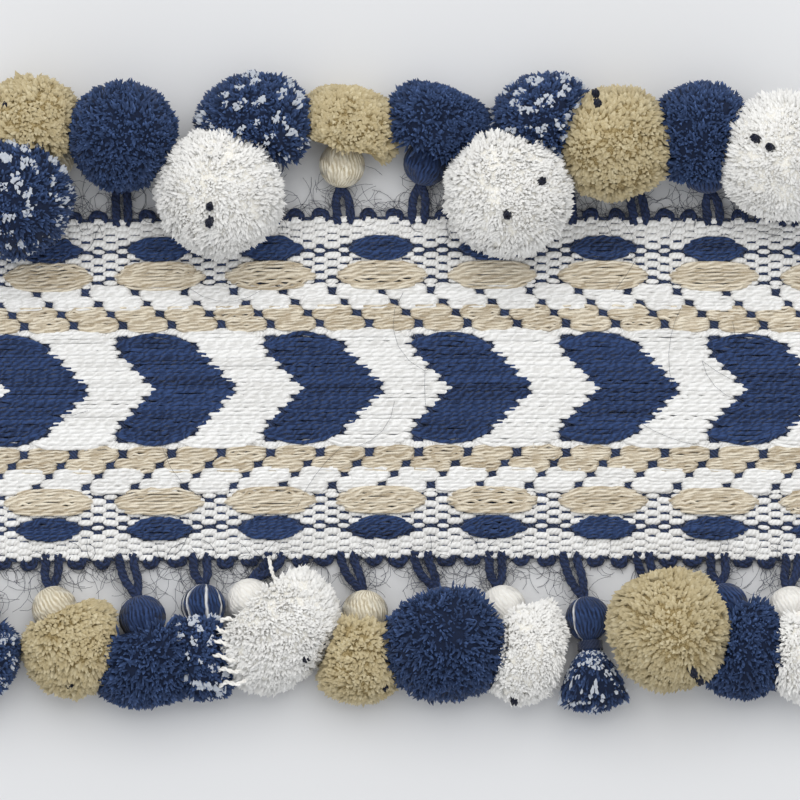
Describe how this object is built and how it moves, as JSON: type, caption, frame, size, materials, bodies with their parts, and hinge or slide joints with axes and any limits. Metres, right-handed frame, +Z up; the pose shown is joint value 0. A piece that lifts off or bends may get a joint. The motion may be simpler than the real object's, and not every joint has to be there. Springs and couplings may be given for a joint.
{
  "type": "pompom fringe trim",
  "caption": "Flat woven trim with chevron, leaf and check bands, edged with picots and with tassel pompoms that hang from yarn loops along both long edges.",
  "frame": {"origin": "middle of the tape's flat underside, which lies on the surface", "axes": "+X along the tape, +Y across it towards the upper row of pompoms, +Z up out of its face"},
  "size_m": [0.169, 0.1154, 0.0213],
  "materials": {
    "tape_yarn": "woven cotton, white ground with navy and beige floats",
    "navy_yarn": "navy yarn",
    "cream_yarn": "cream cut pile yarn",
    "beige_yarn": "beige cut pile yarn",
    "mixed_yarn": "navy cut pile yarn flecked with white",
    "thread_yarn": "fine binding thread"
  },
  "bodies": {
    "root": {"tape": "tape_yarn", "selvedge_upper": "navy_yarn", "tassel_upper_01": "mixed_yarn", "binding_upper_01": "thread_yarn", "tassel_upper_02": "beige_yarn", "binding_upper_02": "thread_yarn", "tassel_upper_03": "navy_yarn", "binding_upper_03": "thread_yarn", "tassel_upper_04": "cream_yarn", "binding_upper_04": "thread_yarn", "tassel_upper_05": "mixed_yarn", "binding_upper_05": "thread_yarn", "tassel_upper_06": "beige_yarn", "binding_upper_06": "thread_yarn", "tassel_upper_07": "navy_yarn", "binding_upper_07": "thread_yarn", "tassel_upper_08": "cream_yarn", "binding_upper_08": "thread_yarn", "tassel_upper_09": "mixed_yarn", "binding_upper_09": "thread_yarn", "tassel_upper_10": "beige_yarn", "binding_upper_10": "thread_yarn", "tassel_upper_11": "navy_yarn", "binding_upper_11": "thread_yarn", "tassel_upper_12": "cream_yarn", "binding_upper_12": "thread_yarn", "selvedge_lower": "navy_yarn", "tassel_lower_01": "mixed_yarn", "binding_lower_01": "thread_yarn", "tassel_lower_02": "beige_yarn", "binding_lower_02": "thread_yarn", "tassel_lower_03": "navy_yarn", "binding_lower_03": "thread_yarn", "tassel_lower_04": "mixed_yarn", "binding_lower_04": "thread_yarn", "tassel_lower_05": "cream_yarn", "binding_lower_05": "thread_yarn", "tassel_lower_06": "beige_yarn", "binding_lower_06": "thread_yarn", "tassel_lower_07": "navy_yarn", "binding_lower_07": "thread_yarn", "tassel_lower_08": "cream_yarn", "binding_lower_08": "thread_yarn", "tassel_lower_09": "mixed_yarn", "binding_lower_09": "thread_yarn", "tassel_lower_10": "beige_yarn", "binding_lower_10": "thread_yarn", "tassel_lower_11": "navy_yarn", "binding_lower_11": "thread_yarn", "tassel_lower_12": "cream_yarn", "binding_lower_12": "thread_yarn"}
  },
  "joints": []
}
